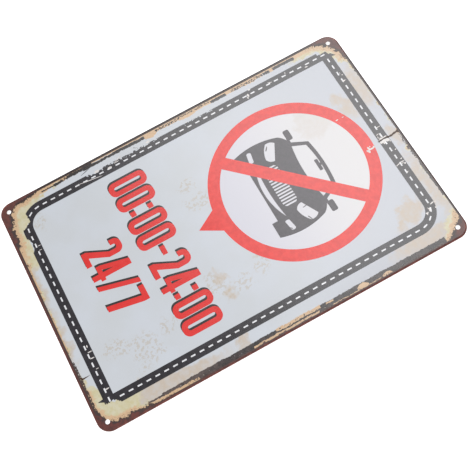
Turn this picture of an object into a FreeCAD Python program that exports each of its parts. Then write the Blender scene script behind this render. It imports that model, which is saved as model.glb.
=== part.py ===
"""A parking sign: one tin sheet with a rolled edge, four screw holes and a printed design.

The sheet lies on its back. +X is the sign's right, +Y is its top and +Z comes out of its printed face.
The origin is the middle of its footprint, on the surface that the rolled edge rests on.
"""

import FreeCAD
import Part
import Sketcher
import math
import os
import re

Vector = FreeCAD.Vector

# Driving dimensions in millimetres, with angles in degrees
SIZES = {
    # the tin sheet and its rolled edge
    "plate_width": 200.0,
    "plate_length": 300.0,
    "corner_radius": 10.0,
    "sheet_thickness": 0.4,
    "hem_radius": 1.2,
    "hem_leg": 1.8,
    "hole_diameter": 3.5,
    "hole_inset": 7.5,
    # the two layers of print: paint on the sheet, and ink on the paint
    "coat_thickness": 0.05,
    "ink_thickness": 0.05,
    # the yellowed border and the pale field that it frames
    "rust_margin": 0.7,
    "border_corner_radius": 24.0,
    "field_corner_radius": 34.0,
    "right_line_width": 4.2,
    "left_line_width": 2.6,
    "right_line_low_gap": 24.1,
    "left_line_end_gap": 12.1,
    # the road that runs round the field, a little nearer to the field's left edge
    "road_left_gap": 5.0,
    "road_right_gap": 9.2,
    "road_end_gap": 5.0,
    "road_width": 8.2,
    "road_bend_radius": 16.0,
    "road_worn_corner": 3.6,
    "dash_length": 3.6,
    "dash_width": 1.1,
    "dash_pitch": 7.1,
    "right_dash_lead": 9.4,
    "right_dash_tail": 6.6,
    "left_dash_lead": 1.8,
    "left_dash_tail": 1.8,
    # the round sign with its slash and pointer, and its gaps to the road
    "roundel_side_gap": 12.6,
    "roundel_top_gap": 4.4,
    "ring_width": 9.5,
    "slash_width": 10.0,
    "slash_angle": 45.0,
    "pointer_width": 18.4,
    "pointer_length": 15.4,
    # the car seen from the front, as large as its gap to the ring lets it be
    "car_ring_gap": 6.75,
    "car_offset_x": -1.0,
    "car_drop": 32.0,
    "car_width": 80.2,
    "car_height": 58.9,
    "car_shoulder_width": 73.4,
    "car_shoulder_height": 38.0,
    "car_waist_width": 56.0,
    "car_waist_height": 44.1,
    "car_roof_width": 42.6,
    "car_pillar_width": 3.3,
    "tyre_width": 12.6,
    "tyre_track": 61.6,
    "underbody_height": 4.8,
    "wing_mirror_width": 9.4,
    "wing_mirror_height": 5.0,
    "inside_mirror_width": 10.2,
    "inside_mirror_height": 2.7,
    "lamp_width": 16.0,
    "lamp_height": 12.6,
    "lamp_spacing": 56.2,
    "lamp_centre_y": 27.9,
    "fog_lamp_width": 9.0,
    "fog_lamp_height": 5.0,
    "fog_lamp_spacing": 63.6,
    "fog_lamp_centre_y": 11.7,
    "grille_width": 37.0,
    "grille_height": 11.8,
    "grille_centre_y": 20.6,
    "grille_bar_width": 1.4,
    "grille_bar_pitch": 2.6,
    "air_dam_width": 48.6,
    "air_dam_height": 3.7,
    "air_dam_centre_y": 8.6,
    # the two rows of figures and their shadows, and their gaps to the pointer and the road
    "pointer_gap": 14.5,
    "row_gap": 9.6,
    "foot_gap": 22.7,
    "row_side_gap": 8.8,
    "figure_stroke": 4.3,
    "figure_crown": 1.8,
    "figure_hook": 2.0,
    "figure_gap": 2.3,
    "figure_dash_width": 7.6,
    "figure_slash_width": 12.4,
    "shadow_left": 1.8,
    "shadow_down": 0.3,
}

UPPER_ROW = "00:00-24:00"
LOWER_ROW = "24/7"
DIGITS = sum(character.isdigit() for character in UPPER_ROW)
COLONS = UPPER_ROW.count(":")
GAPS = len(UPPER_ROW) - 1

# Measures that follow from the driving ones, worked out from the sheet's edge inwards
LAYOUT = {
    "border_inset": "hem_radius + rust_margin",
    "field_inset": "border_inset + right_line_width",
    "straight_side": "plate_length - 2 * border_inset - 2 * border_corner_radius",
    "print_centre_x": "(road_left_gap - road_right_gap) / 2",
    "road_loop_width": "plate_width - 2 * field_inset - road_left_gap - road_right_gap - road_width",
    "road_loop_length": "plate_length - 2 * field_inset - 2 * road_end_gap - road_width",
    "inside_width": "road_loop_width - road_width",
    "inside_length": "road_loop_length - road_width",
    "roundel_radius": "inside_width / 2 - roundel_side_gap",
    "roundel_centre_y": "inside_length / 2 - roundel_top_gap - roundel_radius",
    "pointer_tip_y": "roundel_centre_y - roundel_radius - pointer_length",
    "lower_row_y": "foot_gap - inside_length / 2",
    "figure_height": "(pointer_tip_y - pointer_gap - row_gap - lower_row_y) / 2",
    "upper_row_y": "lower_row_y + figure_height + row_gap",
    "row_marks_width": f"{COLONS} * figure_stroke + figure_dash_width + {GAPS} * figure_gap",
    "figure_width": f"(inside_width - 2 * row_side_gap - row_marks_width) / {DIGITS}",
}

doc = FreeCAD.newDocument("ParkingSign")
sheet = doc.addObject("Spreadsheet::Sheet", "Sizes")
for row, (alias, value) in enumerate(SIZES.items(), start=1):
    sheet.set(f"A{row}", alias)
    sheet.set(f"B{row}", str(value))
    sheet.setAlias(f"B{row}", alias)
doc.recompute()

# Heights of the layers, as formulas on the sheet's cells
FACE = "2 * hem_radius"
PAINT_TOP = "2 * hem_radius + coat_thickness"


def formula(text):
    """A formula in the document's own words, with each name led back to where it is kept."""
    return re.sub(r"[a-z][a-z_]+", lambda word: home(word.group()) + word.group(), text)


def home(name):
    return "Layout." if name in LAYOUT else "Sizes."


layout = doc.addObject("App::VarSet", "Layout")
for name, text in LAYOUT.items():
    layout.addProperty("App::PropertyFloat", name, "Layout")
    layout.setExpression(name, formula(text))
doc.recompute()


def size(name):
    """The value of one driving or following measure, in millimetres or degrees."""
    return float(getattr(layout, name) if name in LAYOUT else sheet.get(name))


# Helpers for bodies and sketches

def new_body(name):
    body = doc.addObject("PartDesign::Body", name)
    body.Label = name
    return body


def new_sketch(body, name, level, role="XY_Plane"):
    """A sketch on one of its body's origin planes, lifted by the formula level."""
    sketch = body.newObject("Sketcher::SketchObject", name)
    plane = next(item for item in body.Origin.OriginFeatures if item.Role == role)
    sketch.AttachmentSupport = (plane, [""])
    sketch.MapMode = "FlatFace"
    sketch.setExpression("AttachmentOffset.Base.z", formula(level))
    return sketch


def move_sketch(sketch, x, y="0"):
    sketch.setExpression("AttachmentOffset.Base.x", formula(x))
    sketch.setExpression("AttachmentOffset.Base.y", formula(y))


def constrain(sketch, *rules):
    for rule in rules:
        sketch.addConstraint(Sketcher.Constraint(*rule))


def dimension(sketch, name, text, *rule):
    """A named dimension of the sketch, bound to a formula."""
    index = sketch.addConstraint(Sketcher.Constraint(*rule))
    sketch.renameConstraint(index, name)
    sketch.setExpression("Constraints." + name, formula(text))


def draw_line(sketch, start, end):
    return sketch.addGeometry(Part.LineSegment(Vector(*start, 0), Vector(*end, 0)))


def draw_rectangle(sketch, width, length):
    """A sharp rectangle about the sketch's origin, of the two formulas' size."""
    x = size("plate_width") / 2
    y = size("plate_length") / 2
    bottom = draw_line(sketch, (-x, -y), (x, -y))
    right = draw_line(sketch, (x, -y), (x, y))
    top = draw_line(sketch, (x, y), (-x, y))
    left = draw_line(sketch, (-x, y), (-x, -y))
    constrain(
        sketch,
        ("Coincident", bottom, 2, right, 1),
        ("Coincident", right, 2, top, 1),
        ("Coincident", top, 2, left, 1),
        ("Coincident", left, 2, bottom, 1),
        ("Horizontal", bottom),
        ("Horizontal", top),
        ("Vertical", right),
        ("Vertical", left),
        ("Symmetric", bottom, 1, right, 2, -1, 1),
    )
    dimension(sketch, "width", width, "DistanceX", bottom, 1, bottom, 2, 2 * x)
    dimension(sketch, "length", length, "DistanceY", right, 1, right, 2, 2 * y)


def draw_rounded_rectangle(sketch, width, length, radius):
    """A rounded rectangle about the sketch's origin, which starts and ends where it crosses +X."""
    x = size("plate_width") / 2
    y = size("plate_length") / 2
    bend = size("corner_radius")
    corners = ((x, y, 0), (-x, y, 90), (-x, -y, 180), (x, -y, 270))
    arcs = []
    for corner_x, corner_y, first in corners:
        centre = Vector(corner_x - math.copysign(bend, corner_x), corner_y - math.copysign(bend, corner_y), 0)
        circle = Part.Circle(centre, Vector(0, 0, 1), bend)
        arc = Part.ArcOfCircle(circle, math.radians(first), math.radians(first + 90))
        arcs.append(sketch.addGeometry(arc))
    upper_right = draw_line(sketch, (x, 0), (x, y - bend))
    top = draw_line(sketch, (x - bend, y), (bend - x, y))
    left = draw_line(sketch, (-x, y - bend), (-x, bend - y))
    bottom = draw_line(sketch, (bend - x, -y), (x - bend, -y))
    lower_right = draw_line(sketch, (x, bend - y), (x, 0))
    constrain(
        sketch,
        ("Tangent", upper_right, 2, arcs[0], 1),
        ("Tangent", arcs[0], 2, top, 1),
        ("Tangent", top, 2, arcs[1], 1),
        ("Tangent", arcs[1], 2, left, 1),
        ("Tangent", left, 2, arcs[2], 1),
        ("Tangent", arcs[2], 2, bottom, 1),
        ("Tangent", bottom, 2, arcs[3], 1),
        ("Tangent", arcs[3], 2, lower_right, 1),
        ("Coincident", lower_right, 2, upper_right, 1),
        ("Horizontal", top),
        ("Horizontal", bottom),
        ("Vertical", left),
        ("Vertical", upper_right),
        ("Vertical", lower_right),
        ("PointOnObject", upper_right, 1, -1),
        ("Equal", arcs[0], arcs[1]),
        ("Equal", arcs[1], arcs[2]),
        ("Equal", arcs[2], arcs[3]),
        ("Symmetric", left, 1, lower_right, 1, -1, 1),
    )
    dimension(sketch, "width", width, "DistanceX", left, 1, upper_right, 2, 2 * x)
    dimension(sketch, "length", length, "DistanceY", bottom, 1, top, 2, 2 * y)
    dimension(sketch, "radius", radius, "Radius", arcs[0], bend)


def pad(body, sketch, name, length):
    feature = body.newObject("PartDesign::Pad", name)
    feature.Profile = sketch
    feature.setExpression("Length", formula(length))
    return feature


def pocket_upwards(body, sketch, name, length):
    """Cuts from the sketch towards +Z."""
    feature = body.newObject("PartDesign::Pocket", name)
    feature.Profile = sketch
    feature.Reversed = True
    feature.setExpression("Length", formula(length))
    return feature


def cut_screw_holes(body, name):
    """Drills the four screw holes through a body, from the surface it lies on to above its face."""
    sketch = new_sketch(body, name + "_hole_places", "0")
    x = size("plate_width") / 2 - size("hole_inset")
    y = size("plate_length") / 2 - size("hole_inset")
    circles = []
    for side_x, side_y in ((1, 1), (-1, 1), (-1, -1), (1, -1)):
        circle = Part.Circle(Vector(side_x * x, side_y * y, 0), Vector(0, 0, 1), size("hole_diameter") / 2)
        circles.append(sketch.addGeometry(circle))
    first, second, third, fourth = circles
    constrain(
        sketch,
        ("Equal", first, second),
        ("Equal", second, third),
        ("Equal", third, fourth),
        ("Symmetric", first, 3, third, 3, -1, 1),
        ("Symmetric", second, 3, fourth, 3, -1, 1),
        ("Symmetric", first, 3, second, 3, -2),
    )
    dimension(sketch, "half_width", "plate_width / 2 - hole_inset", "DistanceX", -1, 1, first, 3, x)
    dimension(sketch, "half_length", "plate_length / 2 - hole_inset", "DistanceY", -1, 1, first, 3, y)
    dimension(sketch, "diameter", "hole_diameter", "Diameter", first, size("hole_diameter"))
    pocket_upwards(body, sketch, name + "_holes", "2 * hem_radius + 2 * coat_thickness")


# The tin sheet

def draw_hem_section(sketch):
    """The rolled edge cut across: over the bend from the face to the leg that is turned in below it."""
    reach = size("plate_width") / 2 - size("hem_radius")
    outer = size("hem_radius")
    thickness = size("sheet_thickness")
    leg_end = reach - size("hem_leg")
    centre = Vector(reach, outer, 0)
    quarter = math.pi / 2
    outer_circle = Part.Circle(centre, Vector(0, 0, 1), outer)
    inner_circle = Part.Circle(centre, Vector(0, 0, 1), outer - thickness)
    outside = sketch.addGeometry(Part.ArcOfCircle(outer_circle, -quarter, quarter))
    inside = sketch.addGeometry(Part.ArcOfCircle(inner_circle, -quarter, quarter))
    seam = draw_line(sketch, (reach, 2 * outer), (reach, 2 * outer - thickness))
    leg_top = draw_line(sketch, (reach, thickness), (leg_end, thickness))
    leg_edge = draw_line(sketch, (leg_end, thickness), (leg_end, 0))
    leg_under = draw_line(sketch, (leg_end, 0), (reach, 0))
    constrain(
        sketch,
        ("Coincident", outside, 2, seam, 1),
        ("Coincident", seam, 2, inside, 2),
        ("Tangent", inside, 1, leg_top, 1),
        ("Coincident", leg_top, 2, leg_edge, 1),
        ("Coincident", leg_edge, 2, leg_under, 1),
        ("Tangent", leg_under, 2, outside, 1),
        ("Coincident", outside, 3, inside, 3),
        ("Vertical", seam),
        ("Horizontal", leg_top),
        ("Vertical", leg_edge),
        ("Horizontal", leg_under),
        ("Vertical", outside, 3, outside, 2),
    )
    dimension(sketch, "reach", "plate_width / 2 - hem_radius", "DistanceX", -1, 1, outside, 3, reach)
    dimension(sketch, "height", "hem_radius", "DistanceY", -1, 1, outside, 3, outer)
    dimension(sketch, "radius", "hem_radius", "Radius", outside, outer)
    dimension(sketch, "thickness", "sheet_thickness", "DistanceY", leg_edge, 2, leg_edge, 1, thickness)
    dimension(sketch, "leg", "hem_leg", "DistanceX", leg_under, 1, leg_under, 2, size("hem_leg"))


def make_sign_plate():
    """The sheet: a flat panel, with its edge rolled back and turned in below it all round."""
    body = new_body("sign_plate")
    inner_outline = (
        "plate_width - 2 * hem_radius",
        "plate_length - 2 * hem_radius",
        "corner_radius - hem_radius",
    )
    panel_outline = new_sketch(body, "panel_outline", "2 * hem_radius - sheet_thickness")
    draw_rounded_rectangle(panel_outline, *inner_outline)
    pad(body, panel_outline, "panel", "sheet_thickness")
    hem_path = new_sketch(body, "hem_path", "hem_radius")
    draw_rounded_rectangle(hem_path, *inner_outline)
    hem_section = new_sketch(body, "hem_section", "0", "XZ_Plane")
    draw_hem_section(hem_section)
    doc.recompute()
    hem = body.newObject("PartDesign::AdditivePipe", "rolled_edge")
    hem.Profile = hem_section
    hem.Spine = hem_path
    doc.recompute()
    cut_screw_holes(body, "plate")
    return body


# The coats of paint

def make_weathered_border():
    """The yellowed paint between the bare rusty edge and the pale field."""
    body = new_body("weathered_border_print")
    outer = new_sketch(body, "border_outline", FACE)
    draw_rounded_rectangle(
        outer,
        "plate_width - 2 * border_inset",
        "plate_length - 2 * border_inset",
        "border_corner_radius",
    )
    pad(body, outer, "border", "coat_thickness")
    inner = new_sketch(body, "border_inside", FACE)
    draw_field_outline(inner)
    pocket_upwards(body, inner, "border_window", "coat_thickness")
    cut_screw_holes(body, "border")
    return body


def draw_field_outline(sketch):
    draw_rounded_rectangle(
        sketch,
        "plate_width - 2 * field_inset",
        "plate_length - 2 * field_inset",
        "field_corner_radius",
    )


def make_pale_field():
    """The pale paint that the design is printed on."""
    body = new_body("pale_field_print")
    outline = new_sketch(body, "field_outline", FACE)
    draw_field_outline(outline)
    pad(body, outline, "field", "coat_thickness")
    cut_screw_holes(body, "field")
    return body


# The inks

def frame_line_strip(name, width, length, x, y):
    """One straight strip of the dark line, with its lower left corner at the two formulas' place."""
    strip = doc.addObject("Part::Box", name)
    strip.setExpression("Length", formula(width))
    strip.setExpression("Width", formula(length))
    strip.setExpression("Height", formula("ink_thickness"))
    strip.setExpression("Placement.Base.x", formula(x))
    strip.setExpression("Placement.Base.y", formula(y))
    strip.setExpression("Placement.Base.z", formula(PAINT_TOP))
    return strip


def make_frame_line():
    """What is left of the dark line round the sheet: one strip along each long side."""
    right = frame_line_strip(
        "right_frame_line",
        "right_line_width",
        "straight_side - right_line_low_gap",
        "plate_width / 2 - field_inset",
        "right_line_low_gap - straight_side / 2",
    )
    left = frame_line_strip(
        "left_frame_line",
        "left_line_width",
        "straight_side - 2 * left_line_end_gap",
        "border_inset - plate_width / 2",
        "left_line_end_gap - straight_side / 2",
    )
    pair = doc.addObject("Part::Compound", "frame_line_print")
    pair.Links = [right, left]
    return pair


def corner_edges(feature, half_width, half_length, corners):
    """Names of a feature's upright edges at the given corners of a rectangle about the print's middle."""
    names = []
    for number, edge in enumerate(feature.Shape.Edges, start=1):
        first = edge.Vertexes[0].Point
        last = edge.Vertexes[-1].Point
        upright = abs(last.z - first.z) > size("ink_thickness") / 2
        for side_x, side_y in corners:
            corner_x = size("print_centre_x") + side_x * half_width
            corner_y = side_y * half_length
            if upright and math.hypot(first.x - corner_x, first.y - corner_y) < 0.01:
                names.append(f"Edge{number}")
    return names


def dress_corners(body, kind, name, corners, half_width, half_length, text):
    """A fillet or a chamfer on some corners of the road."""
    doc.recompute()
    base = body.Tip
    feature = body.newObject("PartDesign::" + kind, name)
    feature.Base = (base, corner_edges(base, half_width, half_length, corners))
    feature.setExpression("Radius" if kind == "Fillet" else "Size", formula(text))
    return feature


def make_road():
    """The road round the field: bent at two corners, square and worn at the other two."""
    body = new_body("road_print")
    bends = ((1, 1), (-1, -1))
    worn = ((-1, 1), (1, -1))
    outer_half = [(size(loop) + size("road_width")) / 2 for loop in ("road_loop_width", "road_loop_length")]
    inner_half = [size(inside) / 2 for inside in ("inside_width", "inside_length")]
    outer = new_sketch(body, "road_outline", PAINT_TOP)
    move_sketch(outer, "print_centre_x")
    draw_rectangle(outer, "road_loop_width + road_width", "road_loop_length + road_width")
    pad(body, outer, "road", "ink_thickness")
    inner = new_sketch(body, "road_inside", PAINT_TOP)
    move_sketch(inner, "print_centre_x")
    draw_rectangle(inner, "inside_width", "inside_length")
    pocket_upwards(body, inner, "road_window", "ink_thickness")
    dress_corners(body, "Fillet", "outer_bends", bends, *outer_half, "road_bend_radius + road_width / 2")
    dress_corners(body, "Fillet", "inner_bends", bends, *inner_half, "road_bend_radius - road_width / 2")
    dress_corners(body, "Chamfer", "worn_corners", worn, *outer_half, "road_worn_corner")
    return body


def middle_line(side, distance):
    """Place and heading on the middle line, from a square corner up one side, round the bend and across."""
    half_width = size("road_loop_width") / 2
    half_length = size("road_loop_length") / 2
    bend = size("road_bend_radius")
    bend_start = size("road_loop_length") - bend
    bend_end = bend_start + bend * math.pi / 2
    if distance < bend_start:
        x, y, heading = half_width, distance - half_length, 90
    elif distance < bend_end:
        turned = (distance - bend_start) / bend
        x = half_width - bend + bend * math.cos(turned)
        y = half_length - bend + bend * math.sin(turned)
        heading = 90 + math.degrees(turned)
    else:
        x, y, heading = half_width - bend - (distance - bend_end), half_length, 180
    return size("print_centre_x") + side * x, side * y, heading


def dash_rows():
    """The two halves of the middle line, as the side that each starts on and its two bare ends."""
    return (
        (1, size("right_dash_lead"), size("right_dash_tail")),
        (-1, size("left_dash_lead"), size("left_dash_tail")),
    )


def make_road_dashes():
    """White dashes evenly spaced along both halves of the road's middle line."""
    dashes = []
    length = size("dash_length")
    width = size("dash_width")
    bend = size("road_bend_radius")
    level = size("coat_thickness") + size("ink_thickness") + 2 * size("hem_radius")
    line_length = size("road_loop_length") + size("road_loop_width") - 2 * bend + bend * math.pi / 2
    for side, lead, tail in dash_rows():
        span = line_length - lead - tail
        steps = max(1, round(span / size("dash_pitch")))
        for number in range(steps + 1):
            x, y, heading = middle_line(side, lead + number * span / steps)
            dash = Part.makeBox(length, width, size("ink_thickness"), Vector(-length / 2, -width / 2, 0))
            turn = FreeCAD.Rotation(Vector(0, 0, 1), heading)
            dash.Placement = FreeCAD.Placement(Vector(x, y, level), turn)
            dashes.append(dash)
    return show("road_dashes_print", Part.makeCompound(dashes))


def make_roundel():
    """The red ring, its slash and the pointer below it."""
    body = new_body("roundel_print")
    ring = new_sketch(body, "ring_outline", PAINT_TOP)
    move_sketch(ring, "print_centre_x", "roundel_centre_y")
    outer = ring.addGeometry(Part.Circle(Vector(0, 0, 0), Vector(0, 0, 1), size("roundel_radius")))
    inner_radius = size("roundel_radius") - size("ring_width")
    inner = ring.addGeometry(Part.Circle(Vector(0, 0, 0), Vector(0, 0, 1), inner_radius))
    constrain(ring, ("Coincident", outer, 3, -1, 1), ("Coincident", inner, 3, -1, 1))
    dimension(ring, "outer_radius", "roundel_radius", "Radius", outer, size("roundel_radius"))
    dimension(ring, "inner_radius", "roundel_radius - ring_width", "Radius", inner, inner_radius)
    pad(body, ring, "ring", "ink_thickness")

    slash = new_sketch(body, "slash_outline", PAINT_TOP)
    move_sketch(slash, "print_centre_x", "roundel_centre_y")
    slash.setExpression("AttachmentOffset.Rotation.Angle", formula("slash_angle") + " * 1 deg")
    draw_rectangle(slash, "2 * roundel_radius - ring_width", "slash_width")
    pad(body, slash, "slash", "ink_thickness")

    pointer = new_sketch(body, "pointer_outline", PAINT_TOP)
    move_sketch(pointer, "print_centre_x", "pointer_tip_y")
    root = size("pointer_length") + size("ring_width") / 2
    half = size("pointer_width") / 2 * root / size("pointer_length")
    right = draw_line(pointer, (0, 0), (half, root))
    top = draw_line(pointer, (half, root), (-half, root))
    left = draw_line(pointer, (-half, root), (0, 0))
    constrain(
        pointer,
        ("Coincident", right, 2, top, 1),
        ("Coincident", top, 2, left, 1),
        ("Coincident", left, 2, right, 1),
        ("Coincident", right, 1, -1, 1),
        ("Symmetric", top, 1, top, 2, -2),
    )
    dimension(pointer, "root", "pointer_length + ring_width / 2", "DistanceY", -1, 1, top, 1, root)
    width = "pointer_width * (pointer_length + ring_width / 2) / pointer_length"
    dimension(pointer, "width", width, "DistanceX", top, 2, top, 1, 2 * half)
    pad(body, pointer, "pointer", "ink_thickness")
    return body


# Helpers for printed figures

def show(name, shape):
    """A printed sub-part whose shape is worked out from the sheet's values."""
    item = doc.addObject("Part::Feature", name)
    item.Label = name
    item.Shape = shape
    return item


def outline(start, *steps):
    """A flat closed face: a step is an end point, or (point passed, end point) for an arc."""
    edges = []
    here = Vector(*start, 0)
    for step in steps + (start,):
        if isinstance(step[0], tuple):
            passed = Vector(*step[0], 0)
            there = Vector(*step[1], 0)
            edges.append(Part.Arc(here, passed, there).toShape())
        else:
            there = Vector(*step, 0)
            if there.distanceToPoint(here) > 1e-6:
                edges.append(Part.LineSegment(here, there).toShape())
        here = there
    return Part.Face(Part.Wire(edges))


def bar(x, y, width, height):
    """A sharp rectangle whose lower left corner is at x, y."""
    return outline((x, y), (x + width, y), (x + width, y + height), (x, y + height))


def rounded(x, y, width, height, radius):
    """A rounded rectangle whose lower left corner is at x, y."""
    bulge = radius * (1 - math.sqrt(0.5))
    right = x + width
    top = y + height
    return outline(
        (x + radius, y),
        (right - radius, y),
        ((right - bulge, y + bulge), (right, y + radius)),
        (right, top - radius),
        ((right - bulge, top - bulge), (right - radius, top)),
        (x + radius, top),
        ((x + bulge, top - bulge), (x, top - radius)),
        (x, y + radius),
        ((x + bulge, y + bulge), (x + radius, y)),
    )


def mirrored(face):
    return face.mirror(Vector(0, 0, 0), Vector(1, 0, 0))


def both_sides(face):
    return [face, mirrored(face)]


def print_ink(face):
    """Lays flat faces on the paint as a layer of ink."""
    face.translate(Vector(0, 0, 2 * size("hem_radius") + size("coat_thickness")))
    ink = face.extrude(Vector(0, 0, size("ink_thickness")))
    return Part.makeCompound(ink.Solids)


# The car, drawn about its own middle line, with the ground at zero

def car_scale():
    """What the car is scaled by, so that its tyres keep their gap to the ring."""
    tyre_outer = (size("tyre_track") + size("tyre_width")) / 2 + abs(size("car_offset_x"))
    reach = math.hypot(tyre_outer, size("car_drop"))
    return (size("roundel_radius") - size("ring_width") - size("car_ring_gap")) / reach


def car_body():
    """The car's outline from below the bumper, over one side and the roof, and down the other side."""
    waist = size("car_waist_width") / 2
    waist_height = size("car_waist_height")
    shoulder = size("car_shoulder_width") / 2
    shoulder_height = size("car_shoulder_height")
    belt = size("car_width") / 2
    roof = size("car_roof_width") / 2
    roof_height = size("car_height")
    roof_drop = roof / 12
    roof_bow = (roof ** 2 + roof_drop ** 2) / (2 * roof_drop)
    roof_midway = (roof / 2, roof_height - roof_bow + math.sqrt(roof_bow ** 2 - roof ** 2 / 4))
    tyre_inner = (size("tyre_track") - size("tyre_width")) / 2
    tyre_outer = (size("tyre_track") + size("tyre_width")) / 2
    underbody = size("underbody_height")
    half = (
        (tyre_inner, underbody),
        (tyre_inner, 0),
        (tyre_outer, 0),
        ((belt, shoulder_height * 0.58), (shoulder, shoulder_height)),
        (((shoulder + waist) / 2 + 1, (shoulder_height + waist_height) / 2 + 0.6), (waist, waist_height)),
        (roof, roof_height - roof_drop),
        (roof_midway, (0, roof_height)),
    )
    right = outline((0, underbody), *half)
    return right.fuse(mirrored(right)).removeSplitter()


def windscreen():
    """The opening of the glass, a pillar's width inside the roof and the pillars."""
    pillar = size("car_pillar_width")
    top = size("car_height") - pillar * 0.9
    top_half = size("car_roof_width") / 2 - pillar * 0.5
    top_side = top - size("car_roof_width") / 24
    low_half = size("car_waist_width") / 2 - pillar * 1.15
    low_side = size("car_waist_height")
    return outline(
        (-low_half, low_side),
        ((0, low_side - pillar * 0.7), (low_half, low_side)),
        (top_half, top_side),
        ((0, top), (-top_half, top_side)),
    )


def inside_mirror():
    """The mirror on its stem below the roof's edge."""
    width = size("inside_mirror_width")
    height = size("inside_mirror_height")
    roof = size("car_height") - size("car_pillar_width") * 0.5
    top = size("car_height") - size("car_pillar_width") * 1.1
    mirror = rounded(-width / 2, top - height, width, height, height * 0.25)
    stem_width = width * 0.22
    stem_foot = top - height / 2
    return [mirror, bar(-stem_width / 2, stem_foot, stem_width, roof - stem_foot)]


def wing_mirror():
    """The right wing mirror, with a foot that reaches back into the pillar."""
    width = size("wing_mirror_width")
    height = size("wing_mirror_height")
    inner = size("car_waist_width") / 2 + width * 0.16
    low = size("car_waist_height") - height * 0.1
    housing = rounded(inner, low, width, height, height * 0.3)
    foot = outline(
        (inner - width * 0.5, low - height * 0.24),
        (inner + width * 0.4, low + height * 0.02),
        (inner + width * 0.4, low + height * 0.3),
        (inner - width * 0.2, low + height * 0.34),
    )
    return [housing, foot]


def head_lamp():
    """The right lamp: a slanted almond, high on its outer side."""
    centre_x = size("lamp_spacing") / 2
    centre_y = size("lamp_centre_y")
    half_width = size("lamp_width") / 2
    half_height = size("lamp_height") / 2

    def at(across, up):
        return centre_x + across * half_width, centre_y + up * half_height

    return outline(
        at(-1, -0.1),
        at(0.7, 1),
        (at(0.98, 0.5), at(1, -0.12)),
        (at(0.3, -0.72), at(-0.5, -1)),
        (at(-0.84, -0.7), at(-1, -0.1)),
    )


def fog_lamp():
    """The right fog lamp, low in the bumper's corner."""
    centre_x = size("fog_lamp_spacing") / 2
    centre_y = size("fog_lamp_centre_y")
    half_width = size("fog_lamp_width") / 2
    half_height = size("fog_lamp_height") / 2

    def at(across, up):
        return centre_x + across * half_width, centre_y + up * half_height

    return outline(
        at(-0.85, -1),
        (at(-1.02, -0.1), at(-0.9, 0.45)),
        at(0.8, 1),
        (at(1.04, 0.3), at(0.9, -0.45)),
    )


def grille_gaps():
    """The light between the grille's bars, kept inside one rounded opening."""
    width = size("grille_width")
    height = size("grille_height")
    low = size("grille_centre_y") - height / 2
    frame = rounded(-width / 2, low, width, height, height * 0.42)
    pitch = size("grille_bar_pitch")
    gap = size("grille_bar_width")
    count = int(width / pitch)
    gaps = []
    for number in range(count):
        x = (number - (count - 1) / 2) * pitch
        gaps.append(bar(x - gap / 2, low, gap, height).common(frame))
    return gaps


def air_dam():
    """The light crescent low in the bumper."""
    half = size("air_dam_width") / 2
    depth = size("air_dam_height")
    middle = size("air_dam_centre_y")
    return outline(
        (-half, middle + depth),
        ((0, middle - depth / 2), (half, middle + depth)),
        ((0, middle + depth / 2), (-half, middle + depth)),
    )


def slash_face():
    """The slash of the round sign, in the sheet's own frame."""
    width = size("slash_width")
    length = 2 * size("roundel_radius")
    face = bar(-length / 2, -width / 2, length, width)
    face.rotate(Vector(0, 0, 0), Vector(0, 0, 1), size("slash_angle"))
    face.translate(Vector(size("print_centre_x"), size("roundel_centre_y"), 0))
    return face


def make_car():
    """The dark car behind the slash."""
    openings = [windscreen(), air_dam()]
    openings += both_sides(head_lamp()) + both_sides(fog_lamp()) + grille_gaps()
    added = inside_mirror()
    for piece in wing_mirror():
        added += both_sides(piece)
    car = car_body().cut(openings).fuse(added).removeSplitter()
    car.translate(Vector(size("car_offset_x"), -size("car_drop"), 0))
    car.scale(car_scale(), Vector(0, 0, 0))
    car.translate(Vector(size("print_centre_x"), size("roundel_centre_y"), 0))
    return show("car_print", print_ink(car.cut(slash_face())))


# The figures, each drawn with its lower left corner at zero

def digit_measures():
    """Width, height and stroke of a digit, and the rounding on either side of its flat crown."""
    width = size("figure_width")
    rounding = (width - size("figure_crown")) / 2
    return width, size("figure_height"), size("figure_stroke"), rounding


def zero_figure():
    width, height, stroke, rounding = digit_measures()
    ring = rounded(0, 0, width, height, rounding)
    hollow = rounded(stroke, stroke, width - 2 * stroke, height - 2 * stroke, (width - 2 * stroke) * 0.45)
    return ring.cut(hollow), width


def two_figure():
    width, height, stroke, rounding = digit_measures()
    bulge = rounding * (1 - math.sqrt(0.5))
    bowl = height - stroke - (width / 2 - stroke)
    hook_end = bowl - size("figure_hook")
    shoulder = stroke + (bowl - stroke) * 0.7
    knee = stroke + (bowl - stroke) * 0.77
    face = outline(
        (0, 0),
        (width, 0),
        (width, stroke),
        (stroke * 1.3, stroke),
        (width, shoulder),
        (width, height - rounding),
        ((width - bulge, height - bulge), (width - rounding, height)),
        (rounding, height),
        ((bulge, height - bulge), (0, height - rounding)),
        (0, hook_end),
        (stroke, hook_end),
        (stroke, bowl),
        ((width / 2, height - stroke), (width - stroke, bowl)),
        (width - stroke, knee),
        (0, stroke * 0.9),
    )
    return face, width


def four_figure():
    width, height, stroke, rounding = digit_measures()
    stem_right = width - stroke * 0.5
    stem_left = stem_right - stroke
    bar_low = height * 0.18
    bar_top = bar_low + stroke * 0.85
    lean = (stem_left - stroke * 0.15) / (height - bar_top)
    outside = outline(
        (stem_left, 0),
        (stem_right, 0),
        (stem_right, bar_low),
        (width, bar_low),
        (width, bar_top),
        (stem_right, bar_top),
        (stem_right, height),
        (stem_left - stroke * 0.15, height),
        (0, bar_top),
        (0, bar_low),
        (stem_left, bar_low),
    )
    slope_width = stroke * 0.92
    hollow = outline(
        (slope_width, bar_top),
        (stem_left, bar_top),
        (stem_left, bar_top + (stem_left - slope_width) / lean),
    )
    return outside.cut(hollow), width


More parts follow.
